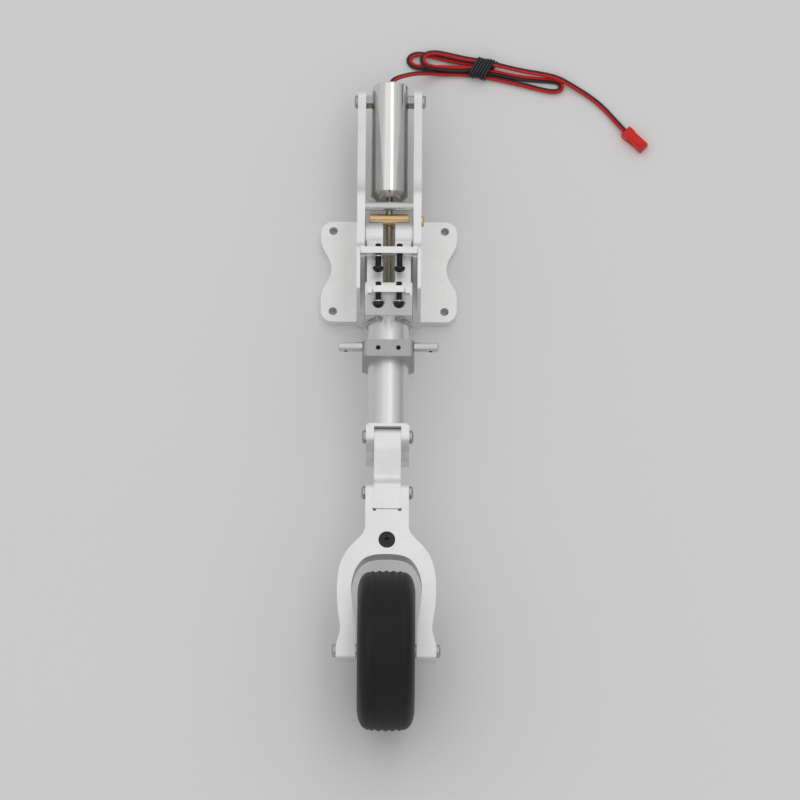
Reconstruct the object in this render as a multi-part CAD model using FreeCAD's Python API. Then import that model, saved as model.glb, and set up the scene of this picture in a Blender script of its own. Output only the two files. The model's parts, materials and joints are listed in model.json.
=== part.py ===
"""Electric retracting nose leg for a large model aircraft, lying retracted on a bench.

X is across the unit, +Y points to the motor and Z is up. The origin is the centre of the
four mounting holes, on the underside of the mounting flanges. All sizes are in millimetres.
"""
import FreeCAD, Part
import math
import os

os.makedirs("parts", exist_ok=True)
V = FreeCAD.Vector

# Driving dimensions: side frames and flanges
WALL_OUT = 13.1
WALL_IN = 9.85
FLANGE_THICK = 5.0
FLANGE_HALF = 27.8
FLANGE_Y = (-22.0, 21.6)
HOLE_X = 22.8
HOLE_Y = 17.5
HOLE_R = 1.7
WALL_END_Y = -23.0
WALL_TOP = 42.0
WALL_HIGH = 46.0
ARM_END_R = 5.5

# Driving dimensions: actuator
MOTOR_R = 7.5
MOTOR_FRONT_Y = 24.3
MOTOR_REAR_Y = 74.2
MOTOR_PIVOT_Y = 67.7
SCREW_Z = 22.0
LEAD_R = 1.5
LEAD_END_Y = -11.0
NUT_R = 3.0
JOURNAL_R = 2.25
NUT_HALF = 14.2
ROD_YZ = (15.5, 39.3)
ROD_R = 1.7

# Driving dimensions: trunnion and its cam; one quarter turn moves the nut twice the arm
PIVOT_YZ = (3.5, 34.0)
CAM_ARM = 12.0
DRUM_R = 6.4
DRUM_HALF = 9.6
CHEEK_IN = 8.1
SLOT_HALF = 2.5
BAR_HALF = 11.5
FACE_Y = -32.4

# Driving dimensions: leg
TUBE_Z = 30.0
TUBE_R = 8.25
TUBE_BORE = 6.75
TUBE_Y = (-78.6, -21.0)
COLLAR_Y = (-50.3, -43.2)
COLLAR_HALF = 10.6
STEER_PIN_Y = -45.6
STEER_PIN_Z = 39.4
STEER_PIN_END = 20.4
LINK_PIVOT = (-83.4, 36.5)
FORK_PIVOT = (-106.9, 35.3)
HALF_KNUCKLE = 8.8
LINK_HALF = 5.4
HEEL_DROP = 6.5
BOSS_R = 3.4

# Driving dimensions: fork and wheel
AXLE_YZ = (-173.7, 32.5)
TYRE_R = 32.5
TYRE_HALF = 11.7
FORK_THICK = 7.0
FORK_INNER = 12.4
AXLE_R = 2.0
RUN_FIT = 0.04

# Driving dimensions: motor lead, a flat pair of thin wires
LEAD_WIRE_R = 1.0
PLUG_XY = (96.6, 63.2)


def rod_x(radius, x_low, x_high, place):
    """Round bar along X at a (y, z) place."""
    return Part.makeCylinder(radius, x_high - x_low, V(x_low, place[0], place[1]), V(1, 0, 0))


def rod_y(radius, y_low, y_high, x, z):
    """Round bar along Y."""
    return Part.makeCylinder(radius, y_high - y_low, V(x, y_low, z), V(0, 1, 0))


def rod_z(radius, z_low, z_high, x, y):
    """Round bar along Z."""
    return Part.makeCylinder(radius, z_high - z_low, V(x, y, z_low))


def block(x_span, y_span, z_span):
    """Box from three (low, high) spans."""
    size = [span[1] - span[0] for span in (x_span, y_span, z_span)]
    return Part.makeBox(size[0], size[1], size[2], V(x_span[0], y_span[0], z_span[0]))


def rounded_wire(corners, place):
    """Closed wire through (a, b, radius) corners; place turns (a, b) into a point."""
    starts = []
    edges = []
    count = len(corners)
    for i in range(count):
        a, b, radius = corners[i]
        here = V(a, b, 0)
        back = V(corners[i - 1][0], corners[i - 1][1], 0) - here
        ahead = V(corners[(i + 1) % count][0], corners[(i + 1) % count][1], 0) - here
        back.normalize()
        ahead.normalize()
        if radius <= 0:
            starts.append((here, here))
            continue
        half = back.getAngle(ahead) / 2
        reach = radius / math.tan(half)
        inward = back + ahead
        inward.normalize()
        middle = here + inward * (radius / math.sin(half) - radius)
        first = here + back * reach
        last = here + ahead * reach
        edges.append(Part.Arc(place(first), place(middle), place(last)).toShape())
        starts.append((first, last))
    for i in range(count):
        leave = starts[i][1]
        arrive = starts[(i + 1) % count][0]
        if leave.distanceToPoint(arrive) > 1e-6:
            edges.append(Part.LineSegment(place(leave), place(arrive)).toShape())
    return Part.Wire(Part.__sortEdges__(edges))


def plate_x(corners, x_low, x_high):
    """Plate with a rounded (y, z) outline, x_low to x_high."""
    wire = rounded_wire(corners, lambda p: V(x_low, p.x, p.y))
    return Part.Face(wire).extrude(V(x_high - x_low, 0, 0))


def plate_y(corners, y_low, y_high):
    """Plate with a rounded (x, z) outline, y_low to y_high."""
    wire = rounded_wire(corners, lambda p: V(p.x, y_low, p.y))
    return Part.Face(wire).extrude(V(0, y_high - y_low, 0))


def plate_z(corners, z_low, z_high):
    """Plate with a rounded (x, y) outline, z_low to z_high."""
    wire = rounded_wire(corners, lambda p: V(p.x, p.y, z_low))
    return Part.Face(wire).extrude(V(0, 0, z_high - z_low))


def fuse(shapes):
    """One solid from touching or overlapping solids."""
    whole = shapes[0].multiFuse(shapes[1:])
    return whole.removeSplitter()


def mirror_x(shape):
    """Copy of a shape on the other side of the centre plane."""
    return shape.mirror(V(0, 0, 0), V(1, 0, 0))


def both_sides(shape):
    """A shape and its mirror copy."""
    return [shape, mirror_x(shape)]


def save(name, shapes):
    """Write one node; a list becomes a group of separate solids."""
    whole = Part.makeCompound(shapes) if isinstance(shapes, list) else shapes
    whole.exportStep("parts/" + name + ".step")


def cap_screw(head_r, head_h, shank_r, length, hex_r):
    """Button-head screw along +Z: head above 0, shank below, a hex socket in the head."""
    dome = Part.makeCylinder(head_r, head_h)
    dome = dome.makeFillet(head_h * 0.6, [dome.Edges[0]])
    socket_pts = [V(hex_r * math.cos(math.pi * k / 3), hex_r * math.sin(math.pi * k / 3), head_h * 0.4)
                  for k in range(7)]
    socket = Part.Face(Part.makePolygon(socket_pts)).extrude(V(0, 0, head_h))
    shank = Part.makeCylinder(shank_r, length, V(0, 0, -length))
    return dome.cut(socket).fuse(shank).removeSplitter()


def aim(shape, direction, at):
    """Turn a +Z shape to a direction and put its origin at a point."""
    turned = shape.copy()
    turned.Placement = FreeCAD.Placement(V(*at), FreeCAD.Rotation(V(0, 0, 1), V(*direction)))
    return turned


def side_frame():
    """Right side frame: wall with motor arm, butterfly flange, nut slot and bridge rebate."""
    wall = plate_x([(WALL_END_Y, 0, 0.6), (21.6, 0, 2), (30, 14.5, 14), (MOTOR_PIVOT_Y, 16.5, 0),
                    (MOTOR_PIVOT_Y, 27.5, 0), (25, 39, 20), (20.5, WALL_TOP, 8), (-2, WALL_TOP, 3),
                    (-4.6, WALL_HIGH, 1), (WALL_END_Y, WALL_HIGH, 1.5)], WALL_IN, WALL_OUT)
    arm_end = rod_x(ARM_END_R, WALL_IN, WALL_OUT, (MOTOR_PIVOT_Y, SCREW_Z))
    flange = plate_z([(WALL_IN, FLANGE_Y[0], 0), (FLANGE_HALF, FLANGE_Y[0], 5),
                      (FLANGE_HALF, -9.5, 9), (22.2, 1, 10), (FLANGE_HALF, 11.5, 9),
                      (FLANGE_HALF, FLANGE_Y[1], 5), (WALL_IN, FLANGE_Y[1], 0)], 0, FLANGE_THICK)
    frame = fuse([wall, arm_end, flange])
    cuts = [rod_z(HOLE_R, -1, FLANGE_THICK + 1, HOLE_X, side * HOLE_Y) for side in (-1, 1)]
    seat = [(2, 44.4, 0), (-8.2, 44.4, 0.5), (WALL_END_Y - 1, 18, 0), (WALL_END_Y - 1, 50, 0), (2, 50, 0)]
    cuts.append(plate_x(seat, WALL_IN - 1, BAR_HALF + 0.15))
    low = PIVOT_YZ[0] - CAM_ARM
    high = PIVOT_YZ[0] + CAM_ARM
    slot_r = JOURNAL_R + 0.1
    cuts.append(block((WALL_IN - 1, WALL_OUT + 1), (low, high), (SCREW_Z - slot_r, SCREW_Z + slot_r)))
    cuts.append(rod_x(slot_r, WALL_IN - 1, WALL_OUT + 1, (low, SCREW_Z)))
    cuts.append(rod_x(slot_r, WALL_IN - 1, WALL_OUT + 1, (high, SCREW_Z)))
    cuts.append(rod_x(1.0, WALL_IN - 1, WALL_OUT + 1, ROD_YZ))
    cuts.append(rod_x(1.5, WALL_IN - 1, WALL_OUT + 1, (MOTOR_PIVOT_Y, SCREW_Z)))
    cuts.append(rod_x(2.0, WALL_IN - 1, WALL_OUT + 1, PIVOT_YZ))
    cuts.append(Part.makeCone(2.0, 3.3, 1.3, V(WALL_OUT - 1.3, PIVOT_YZ[0], PIVOT_YZ[1]), V(1, 0, 0)))
    for cut in cuts:
        frame = frame.cut(cut)
    return frame.removeSplitter()


def motor():
    """Motor can, gearbox and rear cap as three turned pieces on the screw axis."""
    rear_seam = MOTOR_REAR_Y - 8.5
    gear_seam = MOTOR_FRONT_Y + 13.5
    cap = rod_y(MOTOR_R, rear_seam, MOTOR_REAR_Y, 0, SCREW_Z)
    cap = cap.makeChamfer(0.7, [edge for edge in cap.Edges if abs(edge.CenterOfMass.y - MOTOR_REAR_Y) < 0.01])
    can = rod_y(MOTOR_R, gear_seam, rear_seam, 0, SCREW_Z)
    gearbox = rod_y(MOTOR_R, MOTOR_FRONT_Y + 2.2, gear_seam, 0, SCREW_Z)
    nose = Part.makeCone(5.4, MOTOR_R, 2.2, V(0, MOTOR_FRONT_Y, SCREW_Z), V(0, 1, 0))
    gearbox = fuse([gearbox, nose])
    gearbox = gearbox.cut(rod_y(LEAD_R + RUN_FIT, MOTOR_FRONT_Y - 1, MOTOR_FRONT_Y + 4, 0, SCREW_Z))
    return cap, can, gearbox


def motor_mounting():
    """Hex spacers between motor and arms, and the screws that hold them."""
    spacers = []
    screws = []
    for side in (-1, 1):
        hexagon = [V(MOTOR_R - 0.4, MOTOR_PIVOT_Y + 2.9 * math.cos(math.pi * k / 3),
                     SCREW_Z + 2.9 * math.sin(math.pi * k / 3)) for k in range(7)]
        spacer = Part.Face(Part.makePolygon(hexagon)).extrude(V(WALL_IN - MOTOR_R + 0.4, 0, 0))
        spacer = spacer.cut(rod_y(MOTOR_R, 60, 80, 0, SCREW_Z))
        spacer = spacer.cut(rod_x(1.5, 5, 20, (MOTOR_PIVOT_Y, SCREW_Z)))
        spacers.append(spacer if side > 0 else mirror_x(spacer))
        screw = aim(cap_screw(2.75, 1.5, 1.5, WALL_OUT - MOTOR_R, 1.0), (1, 0, 0),
                    (WALL_OUT, MOTOR_PIVOT_Y, SCREW_Z))
        screws.append(screw if side > 0 else mirror_x(screw))
    return spacers, screws


def cross_rod():
    """Polished stop rod with turned-down ends that sit in the walls."""
    return fuse([rod_x(ROD_R, -WALL_IN, WALL_IN, ROD_YZ), rod_x(1.0, -WALL_OUT, WALL_OUT, ROD_YZ)])


def trunnion_pivots():
    """Countersunk stub screws on which the trunnion turns."""
    shank = rod_x(2.0, 4.4, WALL_OUT, PIVOT_YZ)
    head = Part.makeCone(2.0, 3.3, 1.3, V(WALL_OUT - 1.3, PIVOT_YZ[0], PIVOT_YZ[1]), V(1, 0, 0))
    slot = block((WALL_OUT - 0.6, WALL_OUT + 1), (PIVOT_YZ[0] - 0.4, PIVOT_YZ[0] + 0.4), (25, 45))
    return both_sides(fuse([shank, head]).cut(slot))


def barrel_nut():
    """Brass cross nut: barrel between the cheeks, journals through cam and wall slots."""
    place = (PIVOT_YZ[0] + CAM_ARM, SCREW_Z)
    nut = fuse([rod_x(NUT_R, -CHEEK_IN + 0.15, CHEEK_IN - 0.15, place),
                rod_x(JOURNAL_R, -WALL_OUT, NUT_HALF, place)])
    ends = [edge for edge in nut.Edges if abs(edge.CenterOfMass.x - NUT_HALF) < 0.01]
    nut = nut.makeChamfer(0.4, ends)
    return nut.cut(rod_y(LEAD_R + RUN_FIT, place[0] - 5, place[0] + 5, 0, SCREW_Z))


def cam_point(reach, offset):
    """Point of the cam slot in the trunnion: reach along the 45 degree line, offset across."""
    root = math.sqrt(0.5)
    return V(PIVOT_YZ[0] + root * (reach + offset), PIVOT_YZ[1] - root * (reach - offset), 0)


def cam_slot():
    """Slot that a nut moving at constant speed needs: bulged sides and round ends."""
    short = CAM_ARM
    long = CAM_ARM * math.sqrt(2)
    middle = (short + long) / 2
    end_r = JOURNAL_R + 0.15
    bulge = end_r + 1.05
    x_low = CHEEK_IN - 1

    def at(reach, offset):
        point = cam_point(reach, offset)
        return V(x_low, point.x, point.y)

    inner = end_r + 0.7
    outer = end_r + 0.35
    edges = [Part.Arc(at(short, -inner), at(middle, -bulge), at(long, -outer)).toShape(),
             Part.Arc(at(long, -outer), at(long + end_r, 0), at(long, outer)).toShape(),
             Part.Arc(at(long, outer), at(middle, bulge), at(short, inner)).toShape(),
             Part.Arc(at(short, inner), at(short - end_r, 0), at(short, -inner)).toShape()]
    return Part.Face(Part.Wire(edges)).extrude(V(DRUM_HALF - CHEEK_IN + 2, 0, 0))


def cam_lobe():
    """Cheek lobe that carries the cam slot."""
    half = 5.7
    tip = CAM_ARM * math.sqrt(2)
    corners = [cam_point(0, -half), cam_point(tip, -half), cam_point(tip, half), cam_point(0, half)]
    flat = [(point.x, point.y, 0) for point in corners]
    lobe = plate_x(flat, CHEEK_IN, DRUM_HALF)
    end = cam_point(tip, 0)
    return fuse([lobe, rod_x(half, CHEEK_IN, DRUM_HALF, (end.x, end.y))]).cut(cam_slot())


def trunnion():
    """Slotted drum, cam cheeks, slotted block, ledge and the socket of the strut tube."""
    drum = rod_x(DRUM_R, -DRUM_HALF, DRUM_HALF, PIVOT_YZ)
    body = plate_x([(-5, 27.8, 1.5), (1, 28.6, 0), (1, 39.5, 0), (-5, 41.5, 1.0), (-19, 41.5, 0),
                    (-19, 26, 0), (-8, 26, 2)], -8.9, 8.9)
    posts = [block((6.4, DRUM_HALF), (-8, -5), (38, 44.6)), block((-DRUM_HALF, -6.4), (-8, -5), (38, 44.6))]
    bar = block((-BAR_HALF, BAR_HALF), (-7.8, -5), (44.5, 47.5))
    socket = plate_x([(FACE_Y, 20, 1.5), (FACE_Y, 40.6, 0.8), (-25.6, 46.4, 0), (-22.8, 46.4, 0),
                      (-22.8, 41.5, 0), (-18.4, 41.5, 0), (-18.4, 20, 2)], -DRUM_HALF, DRUM_HALF)
    ledge = block((-6.3, 6.3), (-25.6, -22.8), (44, 50))
    lugs = both_sides(block((6.8, 8.6), (-25.6, -22.8), (44, 49)))
    whole = fuse([drum, body, bar, socket, ledge] + posts + lugs)
    whole = whole.cut(block((-SLOT_HALF, SLOT_HALF), (-18.4, 12), (15, 44)))
    whole = fuse([whole] + both_sides(cam_lobe()))
    cuts = both_sides(rod_x(2.0 + RUN_FIT, 4.2, DRUM_HALF + 1, PIVOT_YZ))
    cuts.append(rod_y(TUBE_R + RUN_FIT, FACE_Y - 1, -20.6, 0, TUBE_Z))
    cuts += both_sides(rod_y(1.25, -10, 0, 4.35, 46))
    cuts += both_sides(rod_y(1.25, -27, -20, 4.2, 48.2))
    cuts.append(rod_z(1.5, 18, 23.6, 0, -27.5))
    for cut in cuts:
        whole = whole.cut(cut)
    return whole.removeSplitter()


def stop_screws():
    """Screws of the bridge bar and of the ledge, each pair pointing to the motor."""
    bridge = both_sides(aim(cap_screw(2.2, 1.7, 1.25, 10.0, 0.9), (0, -1, 0), (4.35, -13.6, 46)))
    ledge = both_sides(aim(cap_screw(2.2, 1.7, 1.25, 9.0, 0.9), (0, -1, 0), (4.2, -29.9, 48.2)))
    rings = []
    for x in (-4.2, 4.2):
        ring = rod_y(2.7, -29.9, -29.4, x, 48.2).cut(rod_y(1.25, -31, -28, x, 48.2))
        rings.append(ring)
    rings.append(rod_y(2.7, -9.6, -9.1, -4.35, 46).cut(rod_y(1.25, -11, -8, -4.35, 46)))
    return bridge, ledge, rings


def strut_tube():
    """Strut tube with a window for the keeper screw that limits the steering."""
    tube = rod_y(TUBE_R, TUBE_Y[0], TUBE_Y[1], 0, TUBE_Z)
    tube = tube.cut(rod_y(TUBE_BORE, TUBE_Y[0] - 1, TUBE_Y[1] + 1, 0, TUBE_Z))
    window = Part.makeCylinder(TUBE_R + 1, 3.2, V(0, 0, 0), V(0, 0, 1), 92)
    window.rotate(V(0, 0, 0), V(0, 0, 1), -90 - 46)
    window.Placement = FreeCAD.Placement(V(0, -25.9, TUBE_Z), FreeCAD.Rotation(V(1, 0, 0), 90)).multiply(
        window.Placement)
    return tube.cut(window)


def steering_collar():
    """Collar clamped on the tube, with two tangential grub screws and two steering pins."""
    collar = plate_y([(-COLLAR_HALF, 20, 3.2), (COLLAR_HALF, 20, 3.2), (COLLAR_HALF, 42, 2.2),
                      (-COLLAR_HALF, 42, 2.2)], COLLAR_Y[0], COLLAR_Y[1])
    collar = collar.cut(rod_y(TUBE_R, COLLAR_Y[0] - 1, COLLAR_Y[1] + 1, 0, TUBE_Z))
    middle = (COLLAR_Y[0] + COLLAR_Y[1]) / 2
    grubs = []
    for x in (-4.1, 4.1):
        collar = collar.cut(rod_z(1.0, TUBE_Z + 6, 44, x, middle))
        floor = TUBE_Z + math.sqrt(TUBE_R ** 2 - (abs(x) - 1.0) ** 2)
        grub = rod_z(1.0, floor, 41.4, x, middle).cut(rod_z(0.5, 40.4, 42, x, middle))
        grubs.append(grub)
    pins = []
    for side in (-1, 1):
        pin = fuse([rod_x(2.0, COLLAR_HALF, STEER_PIN_END, (STEER_PIN_Y, STEER_PIN_Z)),
                    rod_x(1.25, COLLAR_HALF - 3, COLLAR_HALF + 1, (STEER_PIN_Y, STEER_PIN_Z))])
        tips = [edge for edge in pin.Edges if abs(edge.CenterOfMass.x - STEER_PIN_END) < 0.01]
        pin = pin.makeChamfer(0.4, tips)
        pin = pin.cut(rod_y(0.8, STEER_PIN_Y - 3, STEER_PIN_Y + 3, STEER_PIN_END - 3.2, STEER_PIN_Z))
        socket = rod_x(1.25, COLLAR_HALF - 3, COLLAR_HALF + 1, (STEER_PIN_Y, STEER_PIN_Z))
        if side < 0:
            pin = mirror_x(pin)
            socket = mirror_x(socket)
        collar = collar.cut(socket)
        pins.append(pin)
    return collar, grubs, pins


def snap_ring():
    """External snap ring that seats against the socket mouth."""
    ring = rod_y(TUBE_R + 1.1, FACE_Y - 1.0, FACE_Y - 0.1, 0, TUBE_Z)
    ring = ring.cut(rod_y(TUBE_R, FACE_Y - 2, FACE_Y + 1, 0, TUBE_Z))
    ears = [rod_y(1.3, FACE_Y - 1.0, FACE_Y - 0.1, x, TUBE_Z + 8.6) for x in (-4.4, 4.4)]
    ring = ring.cut(block((-3.4, 3.4), (FACE_Y - 2, FACE_Y + 1), (TUBE_Z, TUBE_Z + 12)))
    return fuse([ring] + ears).cut(rod_y(TUBE_R, FACE_Y - 2, FACE_Y + 1, 0, TUBE_Z))


def knuckle():
    """Clevis at the foot of the tube: spigot, plate and two deep ears."""
    plate = plate_y([(-HALF_KNUCKLE, 16.8, 3), (HALF_KNUCKLE, 16.8, 3), (HALF_KNUCKLE, 39.9, 1.5),
                     (-HALF_KNUCKLE, 39.9, 1.5)], -79.9, TUBE_Y[0])
    spigot = rod_y(TUBE_BORE, TUBE_Y[0] - 0.5, -68, 0, TUBE_Z)
    front = LINK_PIVOT[0] - BOSS_R
    ear = plate_x([(-79, 39.9, 0.5), (front, 39.9, 3.3), (front, 31, 3), (-90.5, 27, 2), (-90.5, 20, 2),
                   (-87.5, 16.8, 2), (-79, 16.8, 0.5)], LINK_HALF + 0.1, HALF_KNUCKLE)
    whole = fuse([plate, spigot] + both_sides(ear))
    whole = whole.cut(rod_y(3.6, -90, -60, 0, TUBE_Z))
    return whole.cut(rod_x(AXLE_R, -12, 12, LINK_PIVOT))


def link():
    """Trailing link: eye at the knuckle, heel on the plunger, waisted shank, pad in the fork."""
    eye = rod_x(3.25, -LINK_HALF, LINK_HALF, LINK_PIVOT)
    heel = plate_x([(LINK_PIVOT[0] - 3.2, LINK_PIVOT[1], 0), (LINK_PIVOT[0] + 1.0, LINK_PIVOT[1], 0),
                    (LINK_PIVOT[0] + 1.0, LINK_PIVOT[1] - HEEL_DROP, 0),
                    (LINK_PIVOT[0] - 1.75, LINK_PIVOT[1] - HEEL_DROP, 0)], -2.4, 2.4)
    toe = rod_x(1.8, -2.4, 2.4, (LINK_PIVOT[0], LINK_PIVOT[1] - HEEL_DROP))
    shank = plate_x([(LINK_PIVOT[0], 39.7, 0), (-88.5, 39.4, 8), (-101.0, 34.2, 2.5), (-103.5, 39.3, 2.6),
                     (-114.6, 37.8, 0.3), (-114.6, 30.7, 0.3), (-104.5, 31.9, 3), (-100.5, 29.2, 4),
                     (-90, 33.2, 6), (LINK_PIVOT[0], 33.3, 0)],
                    -LINK_HALF, LINK_HALF)
    whole = fuse([eye, heel, toe, shank])
    whole = whole.cut(rod_x(AXLE_R + RUN_FIT, -12, 12, LINK_PIVOT))
    return whole.cut(rod_x(AXLE_R, -12, 12, FORK_PIVOT))


def fork_plan():
    """Outline of the fork seen along Z, as one closed wire of curves and lines."""
    z_low = 20
    outer_pts = [(8.8, -120.5), (9.5, -124.2), (13.6, -128.8), (18.0, -135.4), (20.0, -146.5),
                 (19.4, -158), (18.8, -167.0), (20.0, -171.2), (20.3, -173.5)]
    inner_pts = [(FORK_INNER, -168.5), (13.2, -159), (14.3, -149), (13.2, -141.5), (9.2, -135.4), (0, -133.4)]
    right_out = Part.BSplineCurve()
    right_out.interpolate([V(x, y, z_low) for x, y in outer_pts])
    right_in = Part.BSplineCurve()
    mirrored = [(-x, y) for x, y in reversed(inner_pts[:-1])]
    right_in.interpolate([V(x, y, z_low) for x, y in inner_pts + mirrored])
    left_out = Part.BSplineCurve()
    left_out.interpolate([V(-x, y, z_low) for x, y in outer_pts])
    corners = [(20.3, -177.7), (FORK_INNER, -177.7)]
    ends = [V(20.3, -173.5, z_low)] + [V(x, y, z_low) for x, y in corners] + [V(FORK_INNER, -168.5, z_low)]
    lines = [Part.LineSegment(ends[i], ends[i + 1]).toShape() for i in range(3)]
    lines += [Part.LineSegment(V(-ends[i].x, ends[i].y, z_low),
                               V(-ends[i + 1].x, ends[i + 1].y, z_low)).toShape() for i in range(3)]
    top = [V(8.8, -120.5, z_low), V(8.8, -100, z_low), V(-8.8, -100, z_low), V(-8.8, -120.5, z_low)]
    lines += [Part.LineSegment(top[i], top[i + 1]).toShape() for i in range(3)]
    edges = lines + [right_out.toShape(), right_in.toShape(), left_out.toShape()]
    return Part.Wire(Part.__sortEdges__(edges))


def fork():
    """One-piece wheel fork: plan outline crossed with a stepped side outline."""
    plan = Part.Face(fork_plan()).extrude(V(0, 0, 30))
    side = plate_x([(FORK_PIVOT[0] + BOSS_R, 39.3, 3.0), (-129, 35.9, 25), (-177.7, 36, 1.0),
                    (-177.7, 29, 1.0), (-129, 28.9, 25), (FORK_PIVOT[0] + BOSS_R, 32.0, 3.0)], -25, 25)
    whole = plan.common(side)
    whole = whole.cut(block((-LINK_HALF - 0.05, LINK_HALF + 0.05), (-114.8, -99), (20, 50)))
    for x in (-LINK_HALF + 0.3, LINK_HALF - 0.3):
        whole = whole.cut(rod_z(0.8, 20, 50, x, -114.8))
    whole = whole.cut(rod_x(AXLE_R, -12, 12, FORK_PIVOT))
    whole = whole.cut(rod_x(AXLE_R, -25, 25, AXLE_YZ))
    whole = whole.cut(rod_z(1.5, 20, 50, 0, -127.3))
    return whole.cut(Part.makeCone(1.5, 3.4, 2.0, V(0, -127.3, 34.0)).fuse(rod_z(3.4, 36, 40, 0, -127.3)))


def crown_screw():
    """Countersunk socket screw in the crown of the fork."""
    screw = fuse([Part.makeCone(1.5, 3.4, 2.0, V(0, -127.3, 34.0)), rod_z(1.5, 29.5, 35, 0, -127.3)])
    return screw.cut(rod_z(1.1, 34.8, 37, 0, -127.3))


def hinge_pin(place, half, head_r):
    """Pin across a clevis with a socket-head screw at each end."""
    pin = rod_x(AXLE_R, -half, half, place)
    screw = cap_screw(head_r, 1.7, 0.9, 0.4, 1.0)
    heads = both_sides(aim(screw, (1, 0, 0), (half, place[0], place[1])))
    for x in (-half, half):
        pin = pin.cut(rod_x(0.9, x - 0.4, x + 0.4, place))
    return pin, heads


def tyre():
    """Ribbed tyre turned about the axle."""
    y, z = AXLE_YZ
    ribs = 5
    tread_half = 7.0
    step = 2 * tread_half / ribs
    pts = [V(-8.2, y, z + 20), V(-9.4, y, z + 21.5), V(-11.3, y, z + 24.5), V(-TYRE_HALF, y, z + 27.5),
           V(-10.9, y, z + 30.2), V(-9.3, y, z + 31.6)]
    for k in range(ribs):
        start = -tread_half + k * step
        pts.append(V(start + 0.25, y, z + TYRE_R - 0.7))
        pts.append(V(start + 0.75, y, z + TYRE_R))
        pts.append(V(start + step - 0.5, y, z + TYRE_R))
        pts.append(V(start + step, y, z + TYRE_R - 0.7))
    pts += [V(9.3, y, z + 31.6), V(10.9, y, z + 30.2), V(TYRE_HALF, y, z + 27.5), V(11.3, y, z + 24.5),
            V(9.4, y, z + 21.5), V(8.2, y, z + 20), V(-8.2, y, z + 20)]
    return Part.Face(Part.makePolygon(pts)).revolve(V(0, y, z), V(1, 0, 0), 360)


def hub():
    """Turned wheel hub: rim, dished web with five round openings, and bearing boss."""
    y, z = AXLE_YZ
    half = [(5.0, 8.6), (6.8, 8.6), (6.8, 3.2), (15.5, 2.4), (17.2, 7.4), (18.6, 9.6), (20.0, 9.6), (20.0, 0)]
    right = [V(x, y, z + r) for r, x in half]
    left = [V(-x, y, z + r) for r, x in reversed(half[:-1])]
    wire = Part.makePolygon(right + left + [right[0]])
    body = Part.Face(wire).revolve(V(0, y, z), V(1, 0, 0), 360)
    for k in range(5):
        angle = 2 * math.pi * k / 5
        body = body.cut(rod_x(2.6, -10, 10, (y + 11.3 * math.sin(angle), z + 11.3 * math.cos(angle))))
    groove = rod_x(21, -8.2, 8.2, AXLE_YZ).cut(rod_x(20, -8.2, 8.2, AXLE_YZ))
    return body.cut(groove)


def bearings():
    """Two ball bearings as shielded rings in the hub boss."""
    ring = rod_x(5.0, 4.6, 8.6, AXLE_YZ).cut(rod_x(AXLE_R + RUN_FIT, 4, 9, AXLE_YZ))
    shield = rod_x(4.2, 8.3, 9, AXLE_YZ).cut(rod_x(2.9, 8.3, 9, AXLE_YZ))
    return both_sides(ring.cut(shield))


def axle_bushes():
    """Spacers between the fork arms and the bearings."""
    bush = rod_x(2.8, 8.65, FORK_INNER, AXLE_YZ).cut(rod_x(AXLE_R, 8, 14, AXLE_YZ))
    return both_sides(bush)


def plunger():
    """Plunger that the heel of the link pushes into the tube."""
    tip_y = LINK_PIVOT[0] + 1.85
    nose = Part.makeCone(1.2, 3.55, 2.6, V(0, tip_y, TUBE_Z), V(0, 1, 0))
    return fuse([nose, rod_y(3.55, tip_y + 2.6, -65, 0, TUBE_Z), rod_y(6.5, -65.5, -62.5, 0, TUBE_Z)])


def spring():
    """Square-wire die spring between plunger and seat."""
    turns = 6
    length = 24.4
    wire_r = 0.75
    helix = Part.makeHelix((length - 2 * wire_r) / turns, length - 2 * wire_r, 5.2)
    start = helix.Edges[0].valueAt(helix.Edges[0].FirstParameter)
    square = [(-wire_r, -wire_r), (wire_r, -wire_r), (wire_r, wire_r), (-wire_r, wire_r)]
    corners = [start + V(a, 0, b) for a, b in square + square[:1]]
    ring = Part.makePolygon(corners)
    coil = Part.Wire(helix).makePipeShell([ring], True, True)
    coil.Placement = FreeCAD.Placement(V(0, -38 - wire_r, TUBE_Z), FreeCAD.Rotation(V(1, 0, 0), 90))
    return coil


def lead_route():
    """Lead from the motor down to the bench, as a list of points."""
    return [V(0, MOTOR_REAR_Y, SCREW_Z), V(0, 79.2, SCREW_Z), V(1.0, 84.0, 18.6), V(4.0, 87.4, 12.0),
            V(7.6, 89.6, 6.6), V(12.6, 90.8, 2.9), V(19.0, 91.6, 2.2)]


def tail_route():
    """Lead from the hank to its connector."""
    return [V(62.0, 86.0, 2.2), V(69.0, 85.0, 1.9), V(76.0, 82.6, 1.2), V(82.2, 79.0, 1.0),
            V(87.4, 74.4, 1.0), V(91.8, 69.2, 1.2), V(PLUG_XY[0], PLUG_XY[1], 2.0)]


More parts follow.
